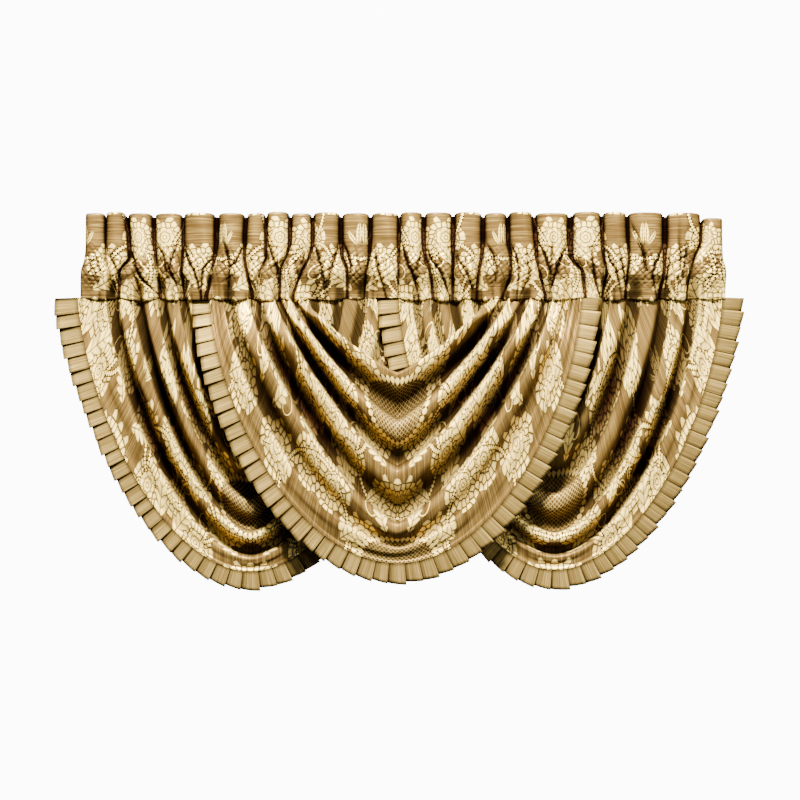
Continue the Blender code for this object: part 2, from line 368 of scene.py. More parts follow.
# Round flowers: middle, radius and number of petals
FLOWERS = (
    (0.068, 0.040, 0.021, 7),
    (0.150, 0.085, 0.018, 6),
    (0.112, 0.182, 0.019, 8),
    (0.058, 0.257, 0.016, 5),
    (0.142, 0.302, 0.018, 7),
)

# Leaves: root, heading in degrees, length, half width and number of lobes, where 0 is a smooth leaf
LEAVES = (
    (0.020, 0.070, 62.0, 0.085, 0.017, 7),
    (0.112, 0.010, 128.0, 0.070, 0.015, 6),
    (0.095, 0.110, 35.0, 0.085, 0.020, 7),
    (0.020, 0.205, 24.0, 0.095, 0.018, 8),
    (0.165, 0.150, 104.0, 0.085, 0.017, 6),
    (0.030, 0.020, 20.0, 0.060, 0.010, 0),
    (0.120, 0.250, 40.0, 0.065, 0.011, 0),
    (0.070, 0.120, 130.0, 0.060, 0.010, 0),
    (0.004, 0.286, 84.0, 0.046, 0.006, 0),
    (0.004, 0.286, 48.0, 0.038, 0.005, 0),
)

# Strings of beads: the middle of the arc, its radius and how many beads go round it
BEAD_STRINGS = (
    (0.180, 0.020, 0.085, 96),
    (0.020, 0.190, 0.075, 84),
    (0.120, 0.240, 0.052, 60),
)

# Scrolls: the middle of the curl, how far it reaches, and which way it winds
SCROLLS = (
    (0.052, 0.104, 0.026, 1.0),
    (0.130, 0.138, 0.017, -1.0),
    (0.100, 0.235, 0.021, 1.0),
    (0.164, 0.262, 0.016, -1.0),
)
MEDALLION = {"up": 0.335, "half_width": 0.066, "half_height": 0.058, "lattice": 0.0080}


# %% The jacquard
class Weave:
    """What is woven at a point: how cream it is and how much of an outline it has."""

    def __init__(self, cream, line):
        self.cream = cream
        self.line = line

    def under(self, inside, cream, line):
        """Lays a motif on top, where inside is 1."""
        return Weave(self.cream.mix(cream, inside), self.line.mix(line, inside))


def petal_clusters(a, b):
    """Cream petals with brown outlines, in uneven rings about the middle of the nearest cluster."""
    far, turned, between = None, None, None
    for across, up, half_width, half_height in CLUSTERS:
        out_a = (a - across) / half_width
        out_b = b.from_nearest(up, REPEAT_HEIGHT) / half_height
        this_far, this_turned = out_a.length_with(out_b), out_b.angle_to(out_a)
        if far is None:
            far, turned = this_far, this_turned
            continue
        border = (this_far - far).abs()
        between = border if between is None else between.mix(border, this_far.below(far)).lesser(border)
        turned = turned.mix(this_turned, this_far.below(far))
        far = far.lesser(this_far)
    grid = (far * PETAL_RINGS).joined(turned * (PETALS_ROUND / (2.0 * math.pi)))
    cells = {"Vector": grid, "Scale": 1.0, "Randomness": PETAL_EVENNESS}
    middle = a.node("ShaderNodeTexVoronoi", {"voronoi_dimensions": "2D"}, cells, "Position")
    to_edge = a.node("ShaderNodeTexVoronoi", {"voronoi_dimensions": "2D", "feature": "DISTANCE_TO_EDGE"},
                     cells, "Distance")
    petals = a.node("ShaderNodeSeparateXYZ", {}, {"Vector": middle}, "X").below(PETAL_RINGS)
    hollow = to_edge.rise(0.08, 0.40)
    line = to_edge.fall(0.055, 0.150).greater(between.fall(0.01, 0.05))
    return Weave(petals * hollow.mix(1.0, 0.45), petals * line)


def with_beads(weave, a, b, across, up, radius, count):
    out_b = b.from_nearest(up, REPEAT_HEIGHT)
    off = ((a - across).length_with(out_b) - radius).abs()
    bead = (out_b.angle_to(a - across) * (count / 2.0)).sin().abs() * 0.0034 - off
    return weave.under(off.below(0.0042), bead.rise(0.0, 0.0006), bead.fall(-0.0004, 0.0004))


def with_scroll(weave, a, b, across, up, reach, way):
    out_a, out_b = a - across, b.from_nearest(up, REPEAT_HEIGHT)
    wound = out_b.angle_to(out_a) * (way * 0.13 * reach) + reach * 0.66
    off = (out_a.length_with(out_b) - wound).abs()
    return weave.under(off.below(0.0015), off.fall(0.0007, 0.0011), off.rise(0.0006, 0.0012) * 0.8)


def with_leaf(weave, place, across, up, heading, length, half_width, lobes):
    share, aside = place.seen_from((across, up), math.radians(heading), (length, half_width))
    spine = (aside - share * share * 0.9).abs()
    teeth = ((share - spine * (half_width / length * 0.8)) * (math.pi * (lobes or 7))).sin().abs()
    body = (1.0 - share) * share * 4.0
    if lobes:
        body = body * (teeth * 0.5 + 0.5)
    depth = body - spine
    rim = depth.fall(0.0008 / half_width, 0.0018 / half_width)
    vein = spine.fall(0.0005 / half_width, 0.0013 / half_width).greater(teeth.fall(0.05, 0.26))
    inside = depth.rise(0.0001 / half_width, 0.0003 / half_width)
    return weave.under(inside, 0.35 + teeth * 0.65, rim.greater(vein))


def with_flower(weave, place, across, up, radius, count):
    out_a, out_b = place.seen_from((across, up), 0.0, (radius, radius))
    far = out_a.length_with(out_b)
    turned = out_b.angle_to(out_a)
    outer = (turned * (count / 2.0)).sin().abs()
    inner = (turned * (count / 2.0) + far * 2.0).cos().abs()
    rim = outer.power(0.5) * 0.24 + 0.78
    heart = inner.power(0.5) * 0.14 + 0.42
    line = 0.0009 / radius
    ring = (far - rim).abs().lesser((far - heart).abs()).lesser((far - 0.2).abs())
    ray = outer.fall(0.06, 0.20) - far.below(heart)
    marks = ring.fall(line * 0.5, line * 1.6).greater(ray)
    return weave.under(far.below(rim + line), (far - heart).abs().rise(0.0, 0.4) * 0.5 + 0.5, marks)


def with_medallion(weave, u, b):
    """An oval net in a beaded border, in the middle of a swag only."""
    a = u.abs()
    oval_b = b.from_nearest(MEDALLION["up"], REPEAT_HEIGHT)
    oval = (a / MEDALLION["half_width"]).length_with(oval_b / MEDALLION["half_height"])
    waves = math.pi / MEDALLION["lattice"]
    first = ((a + oval_b) * waves).sin().abs()
    second = ((a - oval_b) * waves).sin().abs()
    border = (oval - 1.08).abs()
    bead = ((oval_b.angle_to(a) * 21.0).sin().abs() - border * 9.0).rise(-0.05, 0.15)
    net = first.lesser(second).fall(0.10, 0.28)
    weave = weave.under(oval.below(1.0), net * 0.33, (1.0 - net) * 0.42)
    return weave.under(border.fall(0.075, 0.10), bead, (1.0 - bead) * 0.8)


def make_jacquard(name, ribs_run_across):
    """The jacquard, with its ribs run across the cloth on the heading and up it on the swags."""
    material, start, shader = new_material(name)
    u, v = cloth_measures(start)
    along, across = (u, v) if ribs_run_across else (v, u)
    ground, ribs = ribbed(start, across, along, GROUND_DARK, GROUND_LIGHT, GROUND_BRIGHT)
    a = u.wrapped(REPEAT_WIDTH / 2.0)
    b = v.repeated(REPEAT_HEIGHT)
    weave = petal_clusters(a, b)
    for row in SCROLLS:
        weave = with_scroll(weave, a, b, *row)
    for row in BEAD_STRINGS:
        weave = with_beads(weave, a, b, *row)
    place = a.joined(b)
    for row in LEAVES:
        weave = with_leaf(weave, place, *row)
    for row in FLOWERS:
        weave = with_flower(weave, place, *row)
    if not ribs_run_across:
        weave = with_medallion(weave, u, b)
    thread = (weave.cream * (ribs * 0.5 + 0.75)).clamped()
    cream = Value(start.tree, CREAM_SHADE).blended(CREAM, thread)
    colour = ground.blended(cream, weave.cream.rise(0.02, 0.30))
    colour = colour.blended(OUTLINE, (weave.line * 0.92).clamped())
    relief = ribs * 0.5 + weave.cream * 0.8 - weave.line * 0.8
    finish_cloth(start, shader, colour, relief, JACQUARD_ROUGHNESS)
    print(name, "uses", len(start.tree.nodes), "nodes")
    return material


heading_jacquard = make_jacquard("heading_jacquard", True)
swag_jacquard = make_jacquard("swag_jacquard", False)
ribbed_cloth = make_ribbed_cloth()

# %% [markdown]
# ## Swags
#
# Each row of a fold table is one crest line, from the cowl at the top to the hem: where it leaves
# the heading on each side of the swag's middle, how far it drops, how round it hangs, how far it
# stands off the swag, and how deep the trough below it is, which also sets its painted shade. The
# section of one fold, from a crest down to the next, is a table too: a round tube, then a trough
# with painted shade in it that ends in a crisp edge.

# %% Tables of folds
FOLD_COLUMNS = ("left", "right", "drop", "round", "stand", "dip_left", "dip_mid", "dip_right")


def fold_table(*rows):
    return [dict(zip(FOLD_COLUMNS, row)) for row in rows]


CENTRE_SWAG = {
    "name": "centre",
    "middle": -0.0045,
    "hangs": {"left": 0.090, "mid": 0.098, "right": 0.090},
    "seam": {"left": 0.037, "right": 0.037},
    "seam_dip": {"left": 0.010, "right": 0.010},
    "gathered_from": 0.75,
    "tuck": 0.014,
    "trim": {"left": 0.033, "mid": 0.036, "right": 0.034},
    "pattern_up": 0.0,
    "folds": fold_table(
        (0.175, 0.171, 0.139, 1.20, 0.000, 0.036, 0.030, 0.036),
        (0.200, 0.209, 0.238, 1.25, 0.002, 0.040, 0.026, 0.038),
        (0.229, 0.247, 0.320, 1.30, 0.000, 0.040, 0.028, 0.040),
        (0.279, 0.288, 0.420, 1.42, -0.004, 0.020, 0.009, 0.013),
        (0.322, 0.316, 0.455, 1.75, -0.018, 0.003, 0.002, 0.003),
        (0.338, 0.331, 0.477, 1.95, -0.024, 0.000, 0.000, 0.000),
    ),
}
RIGHT_SWAG = {
    "name": "right",
    "middle": 0.279,
    "hangs": {"left": 0.032, "mid": 0.036, "right": 0.046},
    "seam": {"left": 0.029, "right": 0.034},
    "seam_dip": {"left": 0.009, "right": 0.018},
    "least_shade": {"left": 0.85, "right": 0.0},
    "gathered_from": 0.50,
    "tuck": 0.0,
    "trim": {"left": 0.039, "mid": 0.035, "right": 0.039},
    "pattern_up": 0.17,
    "folds": fold_table(
        (0.112, 0.072, 0.171, 1.50, -0.001, 0.009, 0.014, 0.030),
        (0.160, 0.106, 0.270, 1.60, -0.001, 0.009, 0.022, 0.036),
        (0.198, 0.167, 0.371, 1.65, 0.000, 0.010, 0.022, 0.030),
        (0.230, 0.220, 0.437, 1.75, 0.000, 0.010, 0.024, 0.036),
        (0.262, 0.270, 0.470, 1.85, -0.001, 0.002, 0.003, 0.003),
        (0.281, 0.302, 0.492, 1.90, -0.004, 0.000, 0.000, 0.000),
    ),
}
LEFT_SWAG = {
    "name": "left",
    "middle": -0.270,
    "hangs": {"left": 0.045, "mid": 0.035, "right": 0.014},
    "seam": {"left": 0.033, "right": 0.028},
    "goes_behind": {"reach": (0.18, 0.25), "by": 0.013},
    "seam_dip": {"left": 0.018, "right": 0.008},
    "least_shade": {"left": 0.0, "right": 0.85},
    "gathered_from": 0.50,
    "tuck": 0.0,
    "trim": {"left": 0.044, "mid": 0.033, "right": 0.034},
    "pattern_up": 0.17,
    "folds": fold_table(
        (0.099, 0.088, 0.180, 1.50, -0.001, 0.026, 0.012, 0.009),
        (0.137, 0.137, 0.297, 1.60, -0.001, 0.036, 0.022, 0.009),
        (0.176, 0.176, 0.378, 1.65, 0.000, 0.036, 0.020, 0.009),
        (0.221, 0.221, 0.432, 1.62, 0.000, 0.037, 0.024, 0.007),
        (0.270, 0.266, 0.474, 1.78, -0.001, 0.003, 0.003, 0.002),
        (0.311, 0.305, 0.495, 1.88, -0.005, 0.000, 0.000, 0.000),
    ),
}

# One fold's section: step from a crest to the next, how far across it is, how deep, and its painted shade
FOLD_SECTION = (
    (0.00, 0.000, 0.00, 0.00),
    (0.12, 0.130, 0.05, 0.00),
    (0.25, 0.260, 0.24, 0.16),
    (0.36, 0.355, 0.52, 0.52),
    (0.47, 0.440, 0.82, 0.90),
    (0.58, 0.545, 0.98, 1.00),
    (0.68, 0.670, 1.00, 1.00),
    (0.76, 0.775, 0.90, 0.95),
    (0.82, 0.810, 0.68, 0.85),
    (0.88, 0.822, 0.38, 0.50),
    (0.94, 0.880, 0.10, 0.10),
    (1.00, 1.000, 0.00, 0.00),
)
# Painted shade in the troughs: full from this depth, and less at the seam and in the middle
FULL_SHADE_DEPTH = 0.021
SEAM_SHADE = 0.90
MIDDLE_SHADE = 0.80
HALF_COLUMNS = 130
SPAN_ROWS = 46
FLAT_SPAN_ROWS = 20
FLAT_DIP = 0.0035
GATHER_DEPTH = 0.0016
TUCK = ((1.0, 0.012), (0.85, 0.004), (0.6, -0.001), (0.3, -0.003))
TUCK_AT_SEAM = 0.5


# %% [markdown]
# A crest line is half of a rounded V on each side, spaced evenly along its length. The surface is
# swept from one crest to the next, and dips and takes painted shade by the fold's section on the way.
# Near the seam the folds are sewn down, so the troughs get shallower but keep their painted shade.

# %% Sweeping a swag
def crest_half(reach, drop, roundness):
    """One half of a crest line, from the heading to its lowest point, evenly spaced along its length."""
    angle = np.linspace(math.pi / 2.0, 0.0, 400)
    across = reach * np.sin(angle) ** (2.0 / roundness)
    down = drop * np.clip(np.cos(angle), 0.0, 1.0) ** (2.0 * (1.33 - 0.35 * roundness))
    down[0] = 0.0
    curve = np.stack([across, -down], axis=1)
    along = lengths_along(curve)
    wanted = np.linspace(0.0, along[-1], HALF_COLUMNS + 1)
    return np.interp(wanted, along, curve[:, 0]), np.interp(wanted, along, curve[:, 1])


def crest_line(fold):
    """The whole crest line as x and z from left to right, about the swag's middle and the seam."""
    left_x, left_z = crest_half(fold["left"], fold["drop"], fold["round"])
    right_x, right_z = crest_half(fold["right"], fold["drop"], fold["round"])
    x = np.concatenate([-left_x, right_x[:-1][::-1]])
    return x, np.concatenate([left_z, right_z[:-1][::-1]])


def across_swag(left, mid, right, place):
    """A value that changes from left to mid to right, where place runs from -1 to 1."""
    side = np.where(place < 0.0, left, right)
    return mid + (side - mid) * eased(0.10, 0.60, np.abs(place))


def at_seam(swag, what, place):
    return np.where(place < 0.0, swag[what]["left"], swag[what]["right"])


def crest_forward(swag, fold, place):
    hangs = swag["hangs"]
    hung = across_swag(hangs["left"], hangs["mid"], hangs["right"], place) + fold["stand"]
    sewn = at_seam(swag, "seam", place)
    if "goes_behind" in swag:
        behind = eased(*swag["goes_behind"]["reach"], fold["right"]) * swag["goes_behind"]["by"]
        sewn = sewn - np.where(place > 0.0, behind, 0.0)
    return mixed(hung, sewn, eased(swag["gathered_from"], 1.0, np.abs(place)) ** 1.5)


def trough_depth(swag, fold, place):
    """How deep the trough below a crest is, and how much painted shade it gets."""
    hung = across_swag(fold["dip_left"], fold["dip_mid"], fold["dip_right"], place)
    sewn = eased(swag["gathered_from"], 1.0, np.abs(place))
    depth = mixed(hung, np.minimum(hung, at_seam(swag, "seam_dip", place)), sewn)
    dark = np.clip(hung / FULL_SHADE_DEPTH, 0.0, 1.0) ** 1.5
    if fold["dip_mid"] > FLAT_DIP and "least_shade" in swag:
        dark = np.maximum(dark, at_seam(swag, "least_shade", place))
    dark = dark * mixed(MIDDLE_SHADE, 1.0, eased(0.05, 0.45, np.abs(place)))
    return depth, mixed(dark, np.minimum(dark, SEAM_SHADE), sewn)


def ripples(swag, place, level):
    """Small unevenness in the cloth, a millimetre or two high, that dies away at the seam."""
    shift = 1.7 * len(swag["name"])
    wave = np.sin(place * 9.0 + level * 2.3 + shift) * np.sin(place * 4.1 - level * 1.9 + 2.0 * shift)
    small = np.sin(place * 23.0 + level * 5.0 + shift) * np.sin(level * 7.0 + place * 3.0)
    return (0.0016 * wave + 0.0007 * small) * (1.0 - eased(0.85, 1.0, np.abs(place)))


def gathers(place, level):
    """Fine sharp folds that start at the seam: how high they stand off their hollows."""
    lines = (1.0 - np.abs(np.sin(level * 5.3 + 0.9 * np.sin(level * 2.1 + place * 6.0)))) ** 3
    return lines * eased(0.86, 0.99, np.abs(place))


def swag_rows(swag):
    """The swag's surface as rows of x, forward, z and painted shade, from behind the cowl to the hem."""
    folds = swag["folds"]
    lines = [crest_line(fold) for fold in folds]
    place = np.linspace(-1.0, 1.0, 2 * HALF_COLUMNS + 1)
    plain = np.zeros_like(place)
    rows = []
    for back, drop in TUCK if swag["tuck"] else ():
        x, z = lines[0]
        loose = 1.0 - eased(0.80, 1.0, np.abs(place))
        behind = swag["tuck"] * back * mixed(TUCK_AT_SEAM, 1.0, loose)
        forward = crest_forward(swag, folds[0], place) - behind
        # The tucked rows behind the cowl get a little painted shade
        rows.append((x, forward, z - drop * loose, plain + 0.5 * back))
    for index, (upper, lower) in enumerate(zip(folds, folds[1:])):
        (x, z), (next_x, next_z) = lines[index], lines[index + 1]
        steps = SPAN_ROWS if upper["dip_mid"] > FLAT_DIP else FLAT_SPAN_ROWS
        depth, dark = trough_depth(swag, upper, place)
        narrower = 1.0 + 2.0 * eased(swag["gathered_from"], 1.0, np.abs(place))
        for share in np.arange(steps) / steps:
            across = curve_through(FOLD_SECTION, 1, share)
            crest = mixed(crest_forward(swag, upper, place), crest_forward(swag, lower, place), across)
            forward = crest - depth * curve_through(FOLD_SECTION, 2, share, flat_ends=True) ** narrower
            hollow = gathers(place, index + share)
            forward = forward + ripples(swag, place, index + share) - GATHER_DEPTH * hollow
            # Painted shade down in the trough and in the fine gathers
            painted_shade = dark * curve_through(FOLD_SECTION, 3, share, flat_ends=True) ** narrower
            painted_shade = np.maximum(painted_shade, 0.85 * hollow)
            rows.append((mixed(x, next_x, across), forward, mixed(z, next_z, across), painted_shade))
    x, z = lines[-1]
    forward = crest_forward(swag, folds[-1], place) + ripples(swag, place, len(folds) - 1.0)
    rows.append((x, forward, z, plain))
    return np.array([np.stack(row, axis=1) for row in rows])


def placed(swag, rows):
    """Rows of x, forward and z about the swag's middle, moved to where they hang."""
    moved = (swag["middle"] + rows[..., 0], forward_to_y(rows[..., 1]), SEAM_Z - SEWN_GAP + rows[..., 2])
    return np.stack(moved, axis=-1)


def build_swag(swag):
    rows = swag_rows(swag)
    points = placed(swag, rows)
    along = lengths_along(points.transpose(1, 0, 2)).T
    cloth_u = along - along[:, HALF_COLUMNS:HALF_COLUMNS + 1]
    up = lengths_along(points[::-1])[::-1]
    cloth_v = mixed(up, up.mean(axis=1, keepdims=True), 0.5) + swag["pattern_up"]
    obj = cloth_from_grid("swag_cloth_" + swag["name"], points, cloth_u, cloth_v, rows[..., 3],
                          swag_jacquard)
    print("Its hem is", round(float(along[-1].max()), 2), "metres long and its middle",
          round(float(up[0, HALF_COLUMNS]), 2), "metres from top to hem")
    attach(obj, "root")
    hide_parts("swag_" + swag["name"])
    return obj


for swag in (LEFT_SWAG, RIGHT_SWAG, CENTRE_SWAG):
    build_swag(swag)

# %% [markdown]
# ## Knife-pleated trims
#
# A trim is one long strip, folded into flat pleats that all lie the same way. Each pleat's front
# runs on over the start of the next one, then folds back under itself. The pleats open a little
# towards their free edge, and one corner of each hangs lower, so the edge looks like a fine saw.

# %% Trims
PLEATS = 49
TRIM_ROWS = 6
TRIM_CLOTH_WIDTH = 0.036

# One pleat's section: how far along the pitch, how high it stands, and how much painted shade it has
PLEAT_SECTION = (
    (0.00, -0.05, 1.00),
    (0.09, 0.04, 1.00),
    (0.15, 0.12, 0.72),
    (0.23, 0.24, 0.30),
    (0.42, 0.44, 0.10),
    (0.70, 0.72, 0.00),
    (0.96, 0.97, 0.00),
    (1.04, 1.00, 0.05),
    (1.07, 0.86, 0.60),
    (1.04, 0.50, 1.00),
    (0.90, 0.12, 1.00),
    (0.82, -0.10, 1.00),
)
TRIM_STAND = {"seam": 0.0014, "edge": 0.0052}
TRIM_BACK = {"seam": 0.0019, "edge": 0.0040}
TRIM_TUCKED_UNDER = 0.08
SAW_TOOTH = 0.0032


def pleat_columns(length):
    """For each column of the strip: where along the hem, its stand, its painted shade and extra width."""
    pleat = np.arange(PLEATS + 1)
    starts = length * pleat / PLEATS
    starts[1:-1] += (0.0016 * np.sin(pleat * 2.4) * np.sin(pleat * 0.7))[1:-1]
    columns = []
    for index in range(PLEATS):
        pitch = starts[index + 1] - starts[index]
        fuller = 1.0 + 0.30 * math.sin(index * 1.9)
        longer = 0.0012 * math.sin(index * 2.7)
        for along, stand, dark in PLEAT_SECTION:
            at = min(starts[index] + along * pitch, length)
            columns.append((at, stand * fuller, dark, SAW_TOOTH * (along - 0.5) + longer))
    return np.array(columns).T


def build_trim(swag):
    hem = placed(swag, swag_rows(swag)[-1])
    along = lengths_along(hem)
    wanted, stand, dark, longer = pleat_columns(along[-1])
    place = wanted / along[-1] * 2.0 - 1.0
    seam = np.stack([np.interp(wanted, along, hem[:, axis]) for axis in range(3)], axis=1)
    direction = np.gradient(hem, axis=0)
    outward = np.stack([direction[:, 2], -direction[:, 0]], axis=1)
    outward /= np.linalg.norm(outward, axis=1, keepdims=True)
    out_x = np.interp(wanted, along, outward[:, 0])
    out_z = np.interp(wanted, along, outward[:, 1])
    side = np.where(place < 0.0, swag["trim"]["left"], swag["trim"]["right"])
    width = mixed(swag["trim"]["mid"], side, eased(0.6, 1.0, np.abs(place)))
    rows, shades = [], []
    for share in np.append(-TRIM_TUCKED_UNDER, np.linspace(0.0, 1.0, TRIM_ROWS)):
        out = (width + longer) * share
        forward = stand * mixed(TRIM_STAND["seam"], TRIM_STAND["edge"], share)
        forward = forward - mixed(TRIM_BACK["seam"], TRIM_BACK["edge"], share)
        rows.append(np.stack([seam[:, 0] + out_x * out, seam[:, 1] - forward, seam[:, 2] + out_z * out], 1))
        # Painted shade in the pleats' folds, and on the row tucked under the hem
        shades.append(np.maximum(dark * mixed(0.85, 1.0, share), 0.75 * (share <= 0.0)))
    points = np.array(rows)
    cloth_u = lengths_along(points[-1])
    cloth_v = np.linspace(0.0, TRIM_CLOTH_WIDTH, len(rows))[:, None]
    obj = cloth_from_grid("trim_cloth_" + swag["name"], points, cloth_u, cloth_v, np.array(shades),
                          ribbed_cloth, thickness=0.0006)
    print("Pulled flat, its strip is", round(float(cloth_u[-1]), 2), "metres long")
    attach(obj, "root")
    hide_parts("trim_" + swag["name"])
    return obj


for swag in (LEFT_SWAG, RIGHT_SWAG, CENTRE_SWAG):
    build_trim(swag)

# %% [markdown]
# ## The gathered heading
#
# The heading is one sleeve of cloth. Above the pocket it stands in broad pipes with slits between
# them, darkened with painted shade. At the pocket's top seam the pipes are drawn in, and sharp small
# folds fan out from there, with painted shade in them too. Below it the folds run on over the rod,
# and straight into the folds of the swags. How deep a slit or fold is also sets its painted shade.
#
# Nothing in a gathered heading is even, so the slits and folds come from two tables. Each
# row is one crease: where it is, in the photo's pixels, and how deep, at five heights. The grid's
# columns follow the slits sideways, which keeps them crisp with few points.

# %% The heading's tables
PHOTO_MIDDLE = 400
PHOTO_WIDTH = 800
PIXEL = 0.0018
HEADING_TOP_PIXEL = 212
CREASE_HEIGHTS = (212, 240, 256, 272, 296)

# Slits between pipes: places at the five heights, depths there, half the gap at the top (mm)
SLITS = (
    (84.0, 84.0, 83.5, 80.0, 79.5, 0.6, 0.6, 0.5, 0.4, 0.0, 0.3),
    (104.5, 104.3, 104.3, 107.0, 110.0, 1.0, 0.8, 0.6, 0.25, 0.1, 0.3),
    (125.3, 127.7, 128.5, 119.0, 118.0, 1.0, 1.0, 0.9, 0.7, 0.9, 1.5),
    (152.7, 153.0, 155.2, 157.0, 159.0, 1.0, 0.9, 0.8, 0.6, 0.9, 1.5),
    (182.2, 182.2, 182.0, 181.0, 183.0, 1.0, 1.0, 0.9, 0.8, 0.9, 0.8),
    (215.7, 215.5, 214.0, 211.0, 206.0, 1.0, 1.0, 0.9, 0.6, 1.0, 2.0),
    (245.3, 244.0, 243.8, 246.5, 252.0, 1.0, 0.9, 0.8, 0.8, 0.9, 1.6),
    (265.5, 265.3, 265.5, 260.0, 258.0, 1.0, 0.9, 0.8, 0.5, 0.3, 0.9),
    (289.7, 289.5, 286.0, 280.0, 279.0, 1.0, 0.9, 0.7, 0.7, 0.9, 1.2),
    (312.3, 312.3, 309.0, 301.0, 292.0, 1.0, 1.0, 0.9, 0.8, 0.9, 1.0),
    (340.7, 340.7, 342.0, 347.0, 347.0, 1.0, 1.0, 0.9, 0.8, 0.8, 1.6),
    (370.5, 370.0, 369.0, 366.0, 364.0, 1.0, 1.0, 0.8, 0.7, 0.7, 1.2),
    (399.4, 399.0, 398.5, 398.3, 398.0, 1.0, 0.9, 0.8, 0.7, 0.6, 1.0),
    (423.8, 423.8, 425.0, 430.0, 433.5, 1.0, 1.0, 0.9, 0.8, 0.8, 1.5),
    (453.5, 453.3, 453.0, 453.0, 453.0, 1.0, 1.0, 0.9, 0.8, 0.8, 1.6),
    (483.4, 483.2, 482.0, 479.0, 477.0, 1.0, 1.0, 0.9, 0.8, 0.8, 1.6),
    (508.3, 508.5, 511.0, 511.0, 503.0, 1.0, 1.0, 0.9, 0.8, 0.8, 1.3),
    (534.4, 536.5, 537.0, 540.0, 546.0, 1.0, 0.9, 0.8, 0.7, 0.9, 1.8),
    (571.6, 571.0, 572.0, 583.0, 585.5, 1.0, 1.0, 1.0, 0.8, 0.7, 2.6),
    (602.8, 603.4, 604.6, 607.0, 603.0, 1.0, 0.9, 0.8, 0.7, 0.95, 1.2),
    (628.3, 629.0, 630.0, 628.5, 626.0, 1.0, 0.9, 0.8, 0.8, 0.9, 1.0),
    (666.4, 666.2, 665.8, 665.0, 660.0, 1.0, 1.0, 0.9, 0.7, 1.0, 2.2),
    (702.6, 702.0, 696.0, 691.5, 687.5, 1.0, 0.8, 0.8, 0.6, 0.8, 0.4),
    (724.0, 724.0, 724.0, 727.0, 726.0, 0.6, 0.6, 0.5, 0.4, 0.0, 0.3),
)

# Small folds: places at the five heights, and depths there
DARTS = (
    (104.0, 104.0, 110.0, 116.0, 117.0, 0.0, 0.0, 0.5, 0.4, 0.0),
    (128.0, 128.0, 132.5, 136.5, 159.0, 0.0, 0.0, 0.9, 0.9, 0.9),
    (130.0, 130.0, 131.0, 133.0, 140.0, 0.0, 0.0, 0.0, 0.3, 0.7),
    (150.0, 154.0, 163.0, 166.0, 168.0, 0.0, 0.4, 0.9, 0.5, 0.0),
    (183.0, 178.0, 172.0, 168.0, 170.0, 0.0, 0.4, 0.8, 0.4, 0.0),
    (160.0, 162.0, 165.0, 170.0, 181.0, 0.0, 0.0, 0.3, 0.9, 0.3),
    (184.0, 184.6, 186.5, 194.0, 201.0, 0.0, 0.4, 0.9, 1.0, 1.0),
    (216.0, 215.0, 212.0, 202.0, 200.5, 0.0, 0.3, 0.7, 0.9, 0.6),
    (220.0, 223.0, 227.5, 229.0, 227.0, 0.0, 0.5, 0.9, 0.6, 0.9),
    (243.0, 242.5, 238.0, 228.0, 226.0, 0.0, 0.3, 0.8, 0.4, 0.0),
    (266.0, 267.5, 272.0, 277.5, 279.0, 0.0, 0.5, 0.9, 0.8, 0.3),
    (300.0, 302.0, 304.0, 298.0, 296.0, 0.0, 0.1, 0.5, 0.3, 0.0),
    (313.0, 314.0, 318.0, 322.0, 325.0, 0.0, 0.4, 0.9, 0.9, 1.0),
    (340.0, 338.5, 335.0, 330.0, 326.0, 0.0, 0.3, 0.9, 0.8, 0.5),
    (341.0, 343.0, 348.5, 351.0, 346.0, 0.0, 0.6, 0.9, 0.5, 0.0),
    (372.0, 374.0, 376.0, 379.0, 386.0, 0.0, 0.2, 0.6, 0.8, 0.8),
    (402.0, 402.5, 405.5, 412.0, 419.0, 0.0, 0.4, 0.9, 1.0, 0.9),
    (423.0, 422.5, 420.0, 416.0, 415.0, 0.0, 0.2, 0.6, 0.4, 0.0),
    (426.0, 427.0, 430.0, 440.0, 450.0, 0.0, 0.2, 0.7, 0.8, 0.7),
    (455.0, 456.0, 458.0, 466.0, 476.0, 0.0, 0.1, 0.5, 0.8, 0.5),
    (485.0, 486.5, 494.0, 497.0, 490.0, 0.0, 0.4, 0.8, 0.5, 0.0),
    (510.0, 511.0, 516.5, 519.0, 517.0, 0.0, 0.4, 0.8, 0.5, 0.7),
    (534.0, 530.0, 527.0, 530.0, 520.0, 0.0, 0.0, 0.3, 0.6, 0.5),
    (537.0, 539.0, 546.0, 551.0, 548.0, 0.0, 0.6, 0.9, 0.6, 0.0),
    (553.0, 553.0, 552.0, 551.0, 549.0, 0.0, 0.3, 0.7, 0.5, 0.0),
    (571.0, 569.5, 562.0, 556.0, 549.0, 0.0, 0.3, 0.9, 0.9, 0.5),
    (590.0, 592.0, 593.0, 594.5, 600.0, 0.0, 0.0, 0.6, 0.9, 0.7),
    (604.0, 605.0, 609.0, 617.0, 622.0, 0.0, 0.0, 0.7, 0.8, 0.5),
    (618.0, 620.0, 621.5, 624.0, 628.0, 0.0, 0.0, 0.5, 0.7, 0.3),
    (629.0, 639.0, 645.0, 646.0, 640.0, 0.1, 1.0, 1.1, 0.3, 0.0),
    (667.0, 665.5, 660.0, 653.5, 657.0, 0.0, 0.4, 0.9, 0.8, 0.6),
    (680.0, 680.0, 682.0, 680.0, 672.0, 0.0, 0.4, 0.7, 0.2, 0.0),
    (690.0, 689.0, 686.0, 684.0, 680.0, 0.0, 0.4, 0.7, 0.3, 0.0),
    (668.0, 668.0, 670.0, 668.0, 666.0, 0.0, 0.0, 0.4, 0.8, 0.5),
)
DART_DEPTH = 0.0095
DART_REACH = 0.0060
WAIST_Z = -0.092
CRUMPLE_DEPTH = 0.0046
CRUMPLE_SHADE = 1.20
RUFFLE_DEPTH = 0.0026
RUFFLE_SHADE = 0.55
